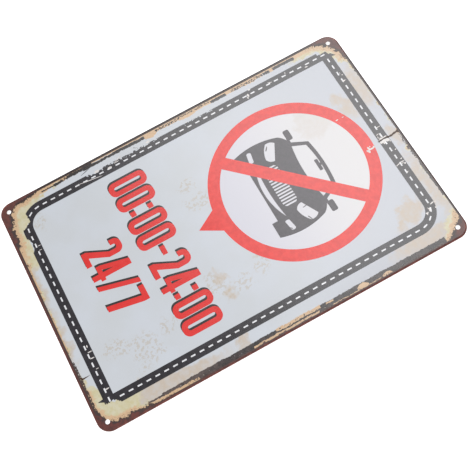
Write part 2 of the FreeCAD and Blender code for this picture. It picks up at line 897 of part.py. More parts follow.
def seven_figure():
    width, height, stroke, rounding = digit_measures()
    foot = width * 0.2
    face = outline(
        (foot, 0),
        (foot + stroke * 1.08, 0),
        (width, height - stroke),
        (width, height),
        (0, height),
        (0, height - stroke),
        (width - stroke * 1.15, height - stroke),
    )
    return face, width


def colon_figure():
    width, height, stroke, rounding = digit_measures()
    lower = bar(0, height * 0.2, stroke, stroke)
    upper = lower.copy()
    upper.translate(Vector(0, height * 0.6 - stroke, 0))
    return Part.makeCompound([lower, upper]), stroke


def dash_figure():
    digit_width, height, stroke, rounding = digit_measures()
    width = size("figure_dash_width")
    half = stroke * 0.45
    return bar(0, height / 2 - half, width, 2 * half), width


def slash_figure():
    digit_width, height, stroke, rounding = digit_measures()
    width = size("figure_slash_width")
    line = stroke * 0.9
    return outline((0, 0), (line, 0), (width, height), (width - line, height)), width


FIGURES = {
    "0": zero_figure,
    "2": two_figure,
    "4": four_figure,
    "7": seven_figure,
    ":": colon_figure,
    "-": dash_figure,
    "/": slash_figure,
}


def figure_row(text, baseline):
    """The faces of one row of figures, centred on the print."""
    gap = size("figure_gap")
    drawn = [FIGURES[character]() for character in text]
    row_width = sum(width for face, width in drawn) + gap * (len(drawn) - 1)
    x = size("print_centre_x") - row_width / 2
    faces = []
    for face, width in drawn:
        face.translate(Vector(x, baseline, 0))
        faces.append(face)
        x += width + gap
    return faces


def make_figures():
    """Two rows of red figures, and the dark shadow that shows below and to the left of them."""
    faces = figure_row(UPPER_ROW, size("upper_row_y")) + figure_row(LOWER_ROW, size("lower_row_y"))
    figures = Part.makeCompound(faces)
    shadows = []
    for face in faces:
        shadow = face.copy()
        shadow.translate(Vector(-size("shadow_left"), -size("shadow_down"), 0))
        shadows.append(shadow.cut(figures))
    shadow_part = show("figure_shadows_print", print_ink(Part.makeCompound(shadows)))
    figure_part = show("figures_print", print_ink(figures))
    return [figure_part, shadow_part]


def check(parts):
    """Stops if any object of the document failed, or a sub-part has no valid solid."""
    for item in doc.Objects:
        if "Invalid" in item.State or "Error" in item.State:
            raise RuntimeError(f"{item.Name} failed: {item.State}")
    for item in parts:
        shape = item.Shape
        if shape.isNull() or not shape.isValid() or not shape.Solids:
            raise RuntimeError(f"{item.Label} has no valid solid")


parts = [
    make_sign_plate(),
    make_weathered_border(),
    make_pale_field(),
    make_frame_line(),
    make_road(),
    make_road_dashes(),
    make_roundel(),
    make_car(),
] + make_figures()
doc.recompute()
check(parts)
os.makedirs("parts", exist_ok=True)
for item in parts:
    item.Shape.exportStep(f"parts/{item.Label}.step")
    box = item.Shape.BoundBox
    print(item.Label, len(item.Shape.Solids), round(item.Shape.Volume, 3), "mm3",
          [round(v, 2) for v in (box.XMin, box.YMin, box.ZMin, box.XMax, box.YMax, box.ZMax)])
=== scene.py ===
"""A weathered tin parking sign lying on a pale floor, seen as in the photograph."""

import bpy
import math
from mathutils import Matrix, Vector


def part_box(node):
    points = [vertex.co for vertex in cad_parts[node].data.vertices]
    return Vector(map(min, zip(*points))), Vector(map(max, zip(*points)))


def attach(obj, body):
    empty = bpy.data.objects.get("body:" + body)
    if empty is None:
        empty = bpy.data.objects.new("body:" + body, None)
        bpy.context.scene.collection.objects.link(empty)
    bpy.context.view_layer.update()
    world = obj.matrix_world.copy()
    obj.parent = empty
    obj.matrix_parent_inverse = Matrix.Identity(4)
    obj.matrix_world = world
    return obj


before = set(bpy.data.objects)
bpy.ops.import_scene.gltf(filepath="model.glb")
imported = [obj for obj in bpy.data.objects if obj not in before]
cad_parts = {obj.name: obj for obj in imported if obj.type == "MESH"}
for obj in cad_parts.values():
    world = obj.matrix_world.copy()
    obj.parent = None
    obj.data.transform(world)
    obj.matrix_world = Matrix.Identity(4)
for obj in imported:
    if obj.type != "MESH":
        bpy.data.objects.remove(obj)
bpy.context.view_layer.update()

MM = 0.001

# The sheet and its print: boxes in metres, other sizes in millimetres
SHEET_LOW, SHEET_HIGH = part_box("sign_plate")
HALF_WIDTH = SHEET_HIGH[0] / MM
HALF_LENGTH = SHEET_HIGH[1] / MM
CORNER_RADIUS = 10.0
ROLL_RADIUS = 1.2
TIN_THICKNESS = 0.4
COAT_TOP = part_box("pale_field_print")[1][2]
INK_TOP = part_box("road_print")[1][2]
RING_LOW, RING_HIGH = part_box("roundel_print")
RING_RADIUS = (RING_HIGH[0] - RING_LOW[0]) / 2 / MM
RING_MIDDLE = ((RING_LOW[0] + RING_HIGH[0]) / 2 / MM, RING_HIGH[1] / MM - RING_RADIUS)

# Gloss and bump of the paints and inks
PAINT_GLOSS = 0.65
RED_GLOSS = 0.58
CRACK_GLOSS = 0.3
PAINT_BUMP = 0.5
INK_BUMP = 0.3
BUMP_DEPTH = 0.05 * MM

# Roughness of paint and ink, what rust, grain and the rolled edge add to it, and the grain's height
PAINT_ROUGHNESS = 0.23
INK_ROUGHNESS = 0.22
RUST_ROUGHER = 0.08
GRAIN_ROUGHER = 0.06
EDGE_ROUGHER = 0.5
GRAIN_HEIGHT = 0.3

# Masks and noise: drift and edge in millimetres, and the span where one tone gives way to another
FULL_DRIFT = 5.0
MASK_EDGE = 0.12
FAR_OUTSIDE = -50.0
CLOUD_SPAN = (0.35, 0.65)

# Flakes: thickness, raggedness, corners, the steps in millimetres that keep their tops apart, and ends
FLAKE = 0.06 * MM
RAGGEDNESS = 0.18
FLAKE_CORNERS = 8
FLAKE_STEP = 0.003
FLAKE_STEPS = 4
CHIP_TOP = INK_TOP + FLAKE
CRACK_TOP = INK_TOP + 1.4 * FLAKE
STROKE_TOP = INK_TOP - 0.2 * FLAKE

# The sky and the floor, in metres
WHITE_LIGHT = (1.0, 1.0, 1.0, 1.0)
SKY_STRENGTH = 0.42
FLOOR_COLOUR = (0.9, 0.9, 0.9, 1.0)
FLOOR_ROUGHNESS = 0.9
FLOOR_GLOW = 0.8
FLOOR_SIZE = 6.0
FLOOR_GAP = 0.05 * MM

# The camera, in millimetres in the sign's own frame
CAMERA_PLACE = (264.2, -50.0, 611.6)
CAMERA_VIEW = (-0.3778, 0.0763, -0.9227)
CAMERA_UP = (-0.7991, 0.4765, 0.3666)
CAMERA_LENS = 68.13
SENSOR_WIDTH = 36.0


def colour(red, green, blue):
    """A colour as it is seen, from 0 to 255, turned into the light values that shaders use."""
    light = []
    for part in (red, green, blue):
        share = part / 255
        light.append(share / 12.92 if share <= 0.04045 else ((share + 0.055) / 1.055) ** 2.4)
    return (*light, 1.0)


# The two tones of each ink, the darker first
CHARCOAL = (colour(27, 24, 31), colour(43, 39, 47))
DASH_WHITE = (colour(226, 227, 230), colour(246, 247, 250))
RING_RED = (colour(223, 26, 16), colour(240, 47, 37))
CAR_GREY = (colour(42, 36, 45), colour(60, 53, 62))
FIGURE_RED = (colour(224, 36, 32), colour(230, 46, 42))
SHADOW_BROWN = (colour(34, 26, 26), colour(50, 38, 38))
BARE_PAINT = (colour(222, 216, 213), colour(232, 227, 224))
CRACK_BROWN = (colour(58, 36, 22), colour(84, 58, 40))
LAMP_GREY = (colour(60, 54, 62), colour(90, 84, 92))


# Helpers for building node trees

def add(tree, kind, **settings):
    """A new node with its settings."""
    item = tree.nodes.new(kind)
    for name, value in settings.items():
        setattr(item, name, value)
    return item


def feed(tree, socket, value):
    """Links a socket to another one, or gives it a plain value."""
    if isinstance(value, bpy.types.NodeSocket):
        tree.links.new(value, socket)
    else:
        socket.default_value = value


def work_out(tree, operation, *values):
    """The result of one sum on numbers."""
    item = add(tree, "ShaderNodeMath", operation=operation)
    for socket, value in zip(item.inputs, values):
        feed(tree, socket, value)
    return item.outputs[0]


def move(tree, operation, *values):
    """The result of one sum on points."""
    item = add(tree, "ShaderNodeVectorMath", operation=operation)
    for socket, value in zip(item.inputs, values):
        feed(tree, socket, value)
    return item.outputs["Value"] if operation == "LENGTH" else item.outputs["Vector"]


def stretch(tree, point, amount):
    """A point times a number."""
    item = add(tree, "ShaderNodeVectorMath", operation="SCALE")
    feed(tree, item.inputs[0], point)
    feed(tree, item.inputs["Scale"], amount)
    return item.outputs["Vector"]


def split(tree, point):
    """The x, y and z of a point."""
    item = add(tree, "ShaderNodeSeparateXYZ")
    feed(tree, item.inputs[0], point)
    return item.outputs[0], item.outputs[1], item.outputs[2]


def rise(tree, value, low, high):
    """A smooth step from 0 at low to 1 at high; low may be above high."""
    item = add(tree, "ShaderNodeMapRange", interpolation_type="SMOOTHSTEP")
    if low > high:
        low, high = high, low
        item.inputs["To Min"].default_value = 1.0
        item.inputs["To Max"].default_value = 0.0
    feed(tree, item.inputs["Value"], value)
    item.inputs["From Min"].default_value = low
    item.inputs["From Max"].default_value = high
    return item.outputs[0]


def blend(tree, share, first, second):
    """One colour laid over another by a share."""
    item = add(tree, "ShaderNodeMix", data_type="RGBA")
    feed(tree, item.inputs[0], share)
    feed(tree, item.inputs[6], first)
    feed(tree, item.inputs[7], second)
    return item.outputs[2]


def mottle(tree, point, grain, detail=2.0, roughness=0.5):
    """Cloudy noise whose patches are about grain millimetres across."""
    item = add(tree, "ShaderNodeTexNoise")
    feed(tree, item.inputs["Vector"], point)
    item.inputs["Scale"].default_value = 1 / grain
    item.inputs["Detail"].default_value = detail
    item.inputs["Roughness"].default_value = roughness
    return item


def new_group(name, inputs, outputs):
    """A node group and its output node; inputs and outputs name the kind of each socket."""
    group = bpy.data.node_groups.new(name, "ShaderNodeTree")
    for label, kind in inputs.items():
        group.interface.new_socket(label, in_out="INPUT", socket_type="NodeSocket" + kind)
    for label, kind in outputs.items():
        group.interface.new_socket(label, in_out="OUTPUT", socket_type="NodeSocket" + kind)
    return group, add(group, "NodeGroupOutput")


def use(tree, group, **values):
    """A group placed in a tree, with its own values."""
    item = add(tree, "ShaderNodeGroup")
    item.node_tree = group
    for label, value in values.items():
        feed(tree, item.inputs[label], value)
    return item


# Shared effects, in millimetres on the sheet

def build_sheet_place():
    """Where a point lies on the sheet, and two unsteady drifts that make edges ragged."""
    outputs = {"Place": "Vector", "Sway": "Vector", "Fray": "Vector"}
    group, result = new_group("sheet place", {}, outputs)
    here = add(group, "ShaderNodeTexCoord").outputs["Object"]
    x, y, _ = split(group, stretch(group, here, 1 / MM))
    flat = add(group, "ShaderNodeCombineXYZ")
    feed(group, flat.inputs[0], x)
    feed(group, flat.inputs[1], y)
    place = flat.outputs[0]
    feed(group, result.inputs["Place"], place)
    sway = mottle(group, place, 9.0).outputs[1]
    fray = mottle(group, place, 1.9, detail=4.0, roughness=0.65).outputs[1]
    reach = (FULL_DRIFT, FULL_DRIFT, 0.0)
    for label, drift in (("Sway", sway), ("Fray", fray)):
        centred = move(group, "SUBTRACT", drift, (0.5, 0.5, 0.5))
        feed(group, result.inputs[label], move(group, "MULTIPLY", centred, reach))
    return group


def torn(tree, spot, sway, fray):
    """The place on the sheet, drifted by shares of the slow sway and of the fine fray."""
    slow = stretch(tree, spot.outputs["Sway"], sway)
    fine = stretch(tree, spot.outputs["Fray"], fray)
    return move(tree, "ADD", spot.outputs["Place"], move(tree, "ADD", slow, fine))


def inset(tree, point, middle, half_size, corner):
    """How far a point lies inside a rounded rectangle, in millimetres."""
    offset = move(tree, "SUBTRACT", point, (*middle, 0.0))
    beyond = move(tree, "SUBTRACT", move(tree, "ABSOLUTE", offset), (*half_size, 0.0))
    past = move(tree, "ADD", beyond, stretch(tree, (1.0, 1.0, 0.0), corner))
    outside = move(tree, "LENGTH", move(tree, "MAXIMUM", past, (0.0, 0.0, 0.0)))
    x, y, _ = split(tree, past)
    inside = work_out(tree, "MINIMUM", work_out(tree, "MAXIMUM", x, y), 0.0)
    return work_out(tree, "SUBTRACT", work_out(tree, "SUBTRACT", corner, outside), inside)


def per_corner(tree, x, y, top_left, top_right, low_left, low_right):
    """A value that is one number in each quarter of the sheet."""
    right = work_out(tree, "GREATER_THAN", x, 0.0)
    top = work_out(tree, "GREATER_THAN", y, 0.0)
    upper = work_out(tree, "MULTIPLY_ADD", right, top_right - top_left, top_left)
    lower = work_out(tree, "MULTIPLY_ADD", right, low_right - low_left, low_left)
    return work_out(tree, "MULTIPLY_ADD", top, work_out(tree, "SUBTRACT", upper, lower), lower)


def patch(tree, point, x, y, across, up, turn=0.0):
    """How deep a point lies in an oval spot, in about millimetres, and below 0 outside it."""
    offset = move(tree, "SUBTRACT", point, (x, y, 0.0))
    if turn:
        item = add(tree, "ShaderNodeVectorRotate", rotation_type="Z_AXIS")
        feed(tree, item.inputs["Vector"], offset)
        item.inputs["Angle"].default_value = -math.radians(turn)
        offset = item.outputs["Vector"]
    away = move(tree, "LENGTH", move(tree, "DIVIDE", offset, (across, up, 1.0)))
    return work_out(tree, "MULTIPLY_ADD", away, -min(across, up), min(across, up))


def within(tree, value, low, high):
    """How far a value lies inside a span, and below 0 outside it."""
    away = work_out(tree, "ABSOLUTE", work_out(tree, "SUBTRACT", value, (low + high) / 2))
    return work_out(tree, "SUBTRACT", (high - low) / 2, away)


def bar(tree, x, y, left, right, low, high):
    """How deep a point lies in a rectangle, in millimetres, and below 0 outside it."""
    return work_out(tree, "MINIMUM", within(tree, x, left, right), within(tree, y, low, high))


def any_of(tree, first, *others):
    """The highest of several values at each point."""
    highest = first
    for other in others:
        highest = work_out(tree, "MAXIMUM", highest, other)
    return highest


def both_of(tree, first, second):
    """One mask or value times another."""
    return work_out(tree, "MULTIPLY", first, second)


def deepest(tree, point, ovals=(), bars=()):
    """How deep a point lies in the nearest of several shapes.

    An oval is x, y, half its width, half its height and, where it is turned, its degrees.
    A bar is left, right, low and high.
    """
    x, y, _ = split(tree, point)
    highest = FAR_OUTSIDE
    for oval in ovals:
        highest = work_out(tree, "MAXIMUM", patch(tree, point, *oval), highest)
    for rectangle in bars:
        highest = work_out(tree, "MAXIMUM", bar(tree, x, y, *rectangle), highest)
    return highest


def masked(tree, point, ovals=(), bars=()):
    """A crisp mask, 1 inside any of the shapes."""
    return rise(tree, deepest(tree, point, ovals, bars), -MASK_EDGE, MASK_EDGE)


def yellow_underlay(tree, point):
    """Yellow-brown coat that shows beside and between the pieces of the dark line."""
    ovals = ((-95.4, 15.0, 3.0, 8.5), (-95.2, -17.5, 3.4, 6.0), (-95.4, -116.0, 2.2, 11.0))
    left_side = (
        (-98.5, -94.1, -22.0, 84.0), (-98.5, -96.4, -106.0, 114.0), (-98.6, -93.7, 110.0, 122.0),
        (-98.6, -93.6, 66.5, 76.0), (-98.6, -94.3, -98.0, -90.0), (-98.6, -95.6, -132.0, -102.0),
        (-98.0, -93.8, 90.2, 93.2),
    )
    elsewhere = (
        (0.6, 5.2, 146.6, 148.5), (95.9, 98.0, -126.0, -71.0), (-60.0, -18.0, -147.6, -146.1),
        (0.0, 34.0, -147.6, -146.4),
    )
    return masked(tree, point, ovals, left_side + elsewhere)


def dark_line(tree, point, grain):
    """The worn dark line at the sheet's long sides and along parts of its ends."""
    sound = masked(tree, point, bars=(
        (-96.4, -93.8, 93.0, 112.5), (-96.4, -93.9, 84.5, 90.5), (-96.2, -93.7, 37.0, 50.5),
        (-96.3, -93.7, -50.0, -22.5), (-96.0, -93.7, -70.0, -50.0), (-97.8, -93.7, -77.0, -69.0),
        (-97.0, -94.3, -91.0, -77.0), (-95.9, -93.9, -103.0, -95.0),
        (-95.2, -94.2, -113.0, -102.0), (93.5, 98.0, -9.0, 130.0), (93.5, 98.1, -72.0, -8.0),
        (93.6, 96.1, -100.0, -69.0), (94.4, 95.8, -111.0, -99.0), (33.0, 66.0, 147.0, 148.3),
    ))
    sound = both_of(tree, sound, rise(tree, grain, 0.3, 0.34))
    crumbling = masked(tree, point, bars=(
        (-96.5, -94.1, 55.0, 84.0), (-96.7, -95.2, 8.0, 36.0), (-96.6, -94.4, -13.0, 8.0),
        (-96.7, -94.1, -98.0, -90.0), (6.0, 30.0, 146.4, 148.5), (-80.0, -50.0, 147.2, 148.5),
        (95.9, 97.4, -86.0, -68.0),
    ))
    return any_of(tree, sound, both_of(tree, crumbling, rise(tree, grain, 0.47, 0.5)))


def yellow_notches(tree, point, grain):
    """Places at the right side where the dark line has chipped down to the yellow-brown coat."""
    ovals = ((97.2, 61.0, 3.2, 4.4), (97.5, 81.0, 1.7, 3.8))
    bars = (
        (97.3, 98.2, 36.0, 58.0), (97.4, 98.2, 64.0, 79.0), (96.4, 97.8, -28.0, 25.0),
        (96.2, 97.6, -86.0, -76.0),
    )
    open_notches = masked(tree, point, ovals, bars)
    block = masked(tree, point, bars=((93.0, 95.3, -8.5, 27.0), (93.8, 95.0, 31.5, 38.0)))
    return any_of(tree, open_notches, both_of(tree, block, rise(tree, grain, 0.6, 0.56)))


def rim_line(tree, place):
    """The dark line and the rust-brown band right at the sheet's edge."""
    return masked(tree, place, bars=(
        (-102.0, -97.2, -152.0, 152.0), (98.0, 102.0, -152.0, 152.0),
        (-102.0, 33.0, 147.65, 152.0), (33.0, 102.0, 148.0, 152.0), (-102.0, 102.0, -152.0, -147.2),
    ))


def faint_stains(tree, point):
    """Wide beige stains in the margins and the field."""
    return deepest(tree, point, ovals=(
        (-46.0, 143.5, 20.0, 6.0), (-38.0, 124.0, 14.0, 7.0, 10), (52.0, 144.0, 30.0, 6.0),
        (89.0, 120.0, 7.0, 28.0), (65.0, 120.0, 11.0, 9.0, -40), (71.0, 110.0, 7.0, 4.0, -40),
        (-37.0, 96.0, 16.0, 13.0, 20), (89.0, -33.0, 4.5, 4.5), (89.5, -78.0, 5.5, 18.0),
        (88.5, -107.0, 9.0, 19.0), (53.0, -24.0, 4.0, 5.0, -20), (38.0, -24.0, 6.0, 4.0),
        (4.5, 145.5, 8.0, 6.5), (91.0, -90.0, 6.5, 44.0), (-22.0, -147.0, 27.0, 5.2),
        (28.0, -147.2, 21.0, 4.6),
    ))


def speckled_zones(tree, point):
    """Where small ochre and grey-green specks gather."""
    return deepest(tree, point, ovals=(
        (-23.0, -9.0, 7.0, 14.0), (-40.0, -12.0, 6.0, 9.0), (44.0, 6.0, 9.0, 7.0),
        (50.0, -11.0, 8.0, 9.0), (44.0, -29.0, 13.0, 8.0, 15), (52.0, -74.0, 6.0, 6.0),
        (58.0, -95.0, 12.0, 12.0), (48.0, -113.0, 9.0, 10.0), (71.0, -103.0, 4.0, 6.0),
        (-72.0, -124.0, 7.0, 3.5),
    ))


def pale_field(tree, place, x, y, cloud):
    """The field's cool white, duller high up and to the right from painted shade, a painted sheen in the
    ring's inside, and the mask of the ring's inside.
    """
    field = blend(tree, rise(tree, cloud, 0.35, 0.7), colour(205, 209, 214), colour(208, 213, 221))
    # Painted shade: the field grows darker towards the top, against the lamp's sheen there.
    field = blend(tree, rise(tree, y, -60.0, 150.0), field, colour(199, 202, 210))
    # Painted shade: the field is darker still high on the right.
    painted_shade_high_right = both_of(tree, rise(tree, x, 70.0, 95.0), rise(tree, y, 0.0, 90.0))
    field = blend(tree, painted_shade_high_right, field, colour(191, 194, 202))
    from_middle = move(tree, "LENGTH", move(tree, "SUBTRACT", place, (*RING_MIDDLE, 0.0)))
    in_ring = rise(tree, from_middle, RING_RADIUS - 4.0, RING_RADIUS - 6.0)
    # Painted sheen: the ring's inside is whiter towards its top, and bluer low down.
    painted_sheen_in_ring = blend(tree, rise(tree, y, 5.0, 110.0), colour(212, 211, 221), colour(225, 223, 224))
    return blend(tree, in_ring, field, painted_sheen_in_ring), in_ring


def stained(tree, field, in_ring, place, soft, blotch):
    """The field with its wide stains, fainter inside the ring, and its small specks."""
    patchiness = work_out(tree, "MULTIPLY_ADD", rise(tree, blotch, 0.3, 0.65), 0.35, 0.62)
    faintness = work_out(tree, "MULTIPLY_ADD", in_ring, -0.6, 0.9)
    stained_zones = rise(tree, faint_stains(tree, soft), -2.0, 3.0)
    stain = both_of(tree, stained_zones, both_of(tree, patchiness, faintness))
    shade = blend(tree, stain, field, colour(201, 185, 167))
    spots = mottle(tree, place, 2.6, detail=3.0, roughness=0.55).outputs[0]
    speck_zones = rise(tree, speckled_zones(tree, soft), -1.5, 3.0)
    speck = both_of(tree, speck_zones, rise(tree, spots, 0.5, 0.56))
    return blend(tree, both_of(tree, speck, 0.4), shade, colour(188, 170, 142))


def within_cream(tree, soft, x, y):
    """How far a point lies inside the cream corners' edge, and below 0 in the cream."""
    corner = per_corner(tree, x, y, top_left=50.0, top_right=38.0, low_left=65.0, low_right=54.0)
    depth = inset(tree, soft, (-0.75, 1.0), (98.25, 148.0), corner)
    lobes = deepest(tree, soft, ovals=(
        (-55.0, -144.0, 16.0, 5.5), (87.5, -125.0, 6.5, 12.0), (-94.0, 122.0, 3.6, 12.0),
    ))
    return work_out(tree, "MINIMUM", depth, work_out(tree, "MULTIPLY", lobes, -1.0))


def within_rust(tree, ragged, x, y):
    """How far a point lies inside the rusty corners' edge, and below 0 in the rust."""
    corner = per_corner(tree, x, y, top_left=33.0, top_right=25.0, low_left=30.0, low_right=23.0)
    depth = inset(tree, ragged, (-0.6, 0.6), (99.0, 149.0), corner)
    lobes = deepest(tree, ragged, ovals=(
        (-77.0, -148.8, 19.0, 4.3), (-100.0, -136.0, 5.2, 31.0), (-80.0, 150.5, 12.0, 4.8),
        (-100.0, 135.0, 4.6, 10.0), (-86.0, -147.5, 8.0, 6.0), (100.4, -129.0, 4.8, 29.0),
    ))
    return work_out(tree, "MINIMUM", depth, work_out(tree, "MULTIPLY", lobes, -1.0))


def rusted(tree, place, crisp, rust_edge, grain):
    """Where there is rust: the corners, crumbs beside them, a fringe low down and the rim."""
    corners = rise(tree, rust_edge, 0.15, -0.15)
    crumbs = both_of(tree, rise(tree, rust_edge, 3.4, 0.4), rise(tree, grain, 0.56, 0.6))
    low_edge = masked(tree, crisp, bars=((42.0, 87.0, -148.0, -145.8),))
    low_fringe = both_of(tree, low_edge, rise(tree, grain, 0.43, 0.46))
    return any_of(tree, corners, both_of(tree, crumbs, 0.8), low_fringe, rim_line(tree, place))


def line_colour(tree, x, y, blotch, grain):
    """Brownish black on the left and high on the right, blacker there as painted shade, and greyer and
    paler low on the right.
    """
    left = blend(tree, rise(tree, grain, *CLOUD_SPAN), colour(26, 20, 20), colour(50, 42, 41))
    low_right = blend(tree, rise(tree, blotch, *CLOUD_SPAN), colour(64, 55, 54), colour(100, 86, 82))
    # Painted shade: the line high on the right is darker, against the lamp's sheen there.
    painted_shade_high_right = blend(tree, rise(tree, blotch, *CLOUD_SPAN), colour(28, 22, 22), colour(62, 50, 50))
    right = blend(tree, rise(tree, y, -62.0, -48.0), low_right, painted_shade_high_right)
    return blend(tree, work_out(tree, "GREATER_THAN", x, 0.0), left, right)


def rust_colour(tree, x, y, rust_edge, blotch, grain):
    """Nearly black where the paint ends, deep brown there on the left, darkened as painted shade, then
    maroon and red brown, and on the right and low edges a painted light that makes them redder.
    """
    unevenness = work_out(tree, "MULTIPLY_ADD", blotch, 6.0, -3.0)
    depth = work_out(tree, "MULTIPLY_ADD", rust_edge, -1.0, unevenness)
    dark = blend(tree, grain, colour(42, 29, 28), colour(74, 54, 50))
    # Painted shade: the rust at the left edge is darker and browner, against the lamp's sheen there.
    dark = blend(tree, rise(tree, x, -92.0, -95.0), dark, colour(40, 14, 8))
    maroon = blend(tree, rise(tree, blotch, *CLOUD_SPAN), colour(80, 38, 34), colour(104, 50, 42))
    red = blend(tree, rise(tree, blotch, 0.4, 0.6), colour(110, 52, 44), colour(138, 70, 58))
    shade = blend(tree, rise(tree, depth, 1.0, 3.0), dark, maroon)
    shade = blend(tree, rise(tree, depth, 6.0, 9.0), shade, red)
    # Painted light: the right and low edges are tinted maroon, and their outermost rim red, as the rolled
    # edge catches the light there.
    painted_light_side = any_of(tree, rise(tree, x, 97.6, 98.8), rise(tree, y, -147.6, -148.6))
    shade = blend(tree, both_of(tree, painted_light_side, 0.7), shade, maroon)
    painted_light_rim = any_of(tree, rise(tree, x, 99.2, 99.9), rise(tree, y, -149.2, -149.9))
    return blend(tree, both_of(tree, painted_light_rim, 0.7), shade, red)


def build_worn_sheet_with_painted_light(sheet_place):
    """The printed sheet below its inks: pale field, stains, cream corners, dark line and rust, with
    painted shade and painted sheen laid into them.
    """
    outputs = {"Color": "Color", "Roughness": "Float", "Height": "Float"}
    group, result = new_group("worn sheet", {}, outputs)
    spot = use(group, sheet_place)
    place = spot.outputs["Place"]
    soft = torn(group, spot, sway=3.5, fray=1.2)
    ragged = torn(group, spot, sway=1.4, fray=1.5)
    crisp = torn(group, spot, sway=0.35, fray=0.45)
    cloud = mottle(group, place, 34.0, detail=3.0).outputs[0]
    grain = mottle(group, place, 1.5, detail=4.0, roughness=0.65).outputs[0]
    blotch = mottle(group, place, 4.5, detail=4.0, roughness=0.6).outputs[0]
    x, y, _ = split(group, place)

    field, in_ring = pale_field(group, place, x, y, cloud)
    shade = stained(group, field, in_ring, place, soft, blotch)

    cream_edge = within_cream(group, soft, x, y)
    cream = blend(group, rise(group, blotch, *CLOUD_SPAN), colour(206, 197, 158), colour(213, 207, 180))
    shade = blend(group, rise(group, cream_edge, 1.2, -1.2), shade, cream)

    rust_edge = within_rust(group, ragged, x, y)
    near_rust = both_of(group, rise(group, rust_edge, 4.6, 2.6), rise(group, cream_edge, -0.5, -3.0))
    tan = blend(group, grain, colour(200, 162, 124), colour(228, 198, 162))
    shade = blend(group, any_of(group, near_rust, yellow_underlay(group, crisp)), shade, tan)

    line = dark_line(group, crisp, grain)
    shade = blend(group, line, shade, line_colour(group, x, y, blotch, grain))
    shade = blend(group, yellow_notches(group, crisp, grain), shade, tan)

    rust = rusted(group, place, crisp, rust_edge, grain)
    shade = blend(group, rust, shade, rust_colour(group, x, y, rust_edge, blotch, grain))
    feed(group, result.inputs["Color"], shade)

    rough = work_out(group, "MULTIPLY_ADD", rust, RUST_ROUGHER, PAINT_ROUGHNESS)
    rough = work_out(group, "MULTIPLY_ADD", grain, GRAIN_ROUGHER, rough)
    feed(group, result.inputs["Roughness"], rough)
    feed(group, result.inputs["Height"], both_of(group, grain, GRAIN_HEIGHT))
    return group


def build_cloudy_ink(sheet_place):
    """An ink that is cloudy between two tones, with patches about grain millimetres across."""
    inputs = {"Dark": "Color", "Light": "Color", "Grain": "Float"}
    group, result = new_group("cloudy ink", inputs, {"Color": "Color", "Cloud": "Float"})
    given = add(group, "NodeGroupInput").outputs
    spot = use(group, sheet_place)
    clouds = mottle(group, spot.outputs["Place"], 1.0, detail=4.0, roughness=0.6)
    feed(group, clouds.inputs["Scale"], work_out(group, "DIVIDE", 1.0, given["Grain"]))
    cloud = clouds.outputs[0]
    ink = blend(group, rise(group, cloud, 0.3, 0.7), given["Dark"], given["Light"])
    feed(group, result.inputs["Color"], ink)
    feed(group, result.inputs["Cloud"], cloud)
    return group


def build_bitten_print(sheet_place):
    """Where the ink of the road and its dashes is worn away: at the corners and the left edge."""
    group, result = new_group("bitten print", {}, {"Gone": "Float"})
    spot = use(group, sheet_place)
    crisp = torn(group, spot, sway=0.3, fray=0.7)
    ovals = (
        (-76.5, -138.0, 4.2, 5.8, 38), (-57.5, -140.5, 6.5, 4.2), (-86.5, 139.5, 4.0, 2.6, 30),
        (86.0, -133.0, 5.4, 5.4), (-90.6, -24.0, 1.8, 6.0), (-90.4, -39.0, 2.6, 5.0),
        (-89.9, -51.0, 1.3, 5.0), (-89.4, -69.0, 2.6, 5.5),
    )
    bars = (
        (-92.0, -76.0, -142.0, -131.3), (-92.0, -86.8, 129.0, 142.0), (81.0, 88.0, -142.0, -131.8),
    )
    bites = deepest(group, crisp, ovals, bars)
    left_edge = ((-93.0, -88.3, -76.0, -14.0), (-93.0, -88.7, 8.0, 34.0))
    nibbles = deepest(group, torn(group, spot, sway=0.2, fray=2.4), bars=left_edge)
    feed(group, result.inputs["Gone"], rise(group, any_of(group, bites, nibbles), -0.1, 0.1))
    return group


def build_effects():
    """The shared effects by name, each built once."""
    place = build_sheet_place()
    worn = build_worn_sheet_with_painted_light(place)
    bitten = build_bitten_print(place)
    return {"place": place, "worn": worn, "bitten": bitten, "ink": build_cloudy_ink(place)}


# Materials

def new_material(name, gloss=PAINT_GLOSS):
    """A new material, its node tree and its shader."""
    material = bpy.data.materials.new(name)
    material.use_nodes = True
    tree = material.node_tree
    shader = next(item for item in tree.nodes if item.type == "BSDF_PRINCIPLED")
    shader.inputs["Specular IOR Level"].default_value = gloss
    return material, tree, shader


def add_bump(tree, shader, height, strength):
    """Gives a shader a fine unevenness."""
    bump = add(tree, "ShaderNodeBump")
    bump.inputs["Strength"].default_value = strength
    bump.inputs["Distance"].default_value = BUMP_DEPTH
    feed(tree, bump.inputs["Height"], height)
    feed(tree, shader.inputs["Normal"], bump.outputs[0])


def painted_sheet(effects, name):
    """A coat of paint or worn ink whose colours all come from the worn sheet."""
    material, tree, shader = new_material(name)
    worn = use(tree, effects["worn"])
    feed(tree, shader.inputs["Base Color"], worn.outputs["Color"])
    feed(tree, shader.inputs["Roughness"], worn.outputs["Roughness"])
    add_bump(tree, shader, worn.outputs["Height"], PAINT_BUMP)
    return material


def lay_ink(tree, shader, ink, shade):
    """Gives a shader the colour of an ink, and gloss and bump from the ink's clouds."""
    cloud = ink.outputs["Cloud"]
    rough = work_out(tree, "MULTIPLY_ADD", cloud, GRAIN_ROUGHER, INK_ROUGHNESS)
    feed(tree, shader.inputs["Base Color"], shade)
    feed(tree, shader.inputs["Roughness"], rough)
    add_bump(tree, shader, cloud, INK_BUMP)


def printed_ink(effects, name, tones, grain, gloss=PAINT_GLOSS):
    """An ink that is cloudy between two tones."""
    material, tree, shader = new_material(name, gloss)
    ink = use(tree, effects["ink"], Dark=tones[0], Light=tones[1], Grain=grain)
    lay_ink(tree, shader, ink, ink.outputs["Color"])
    return material


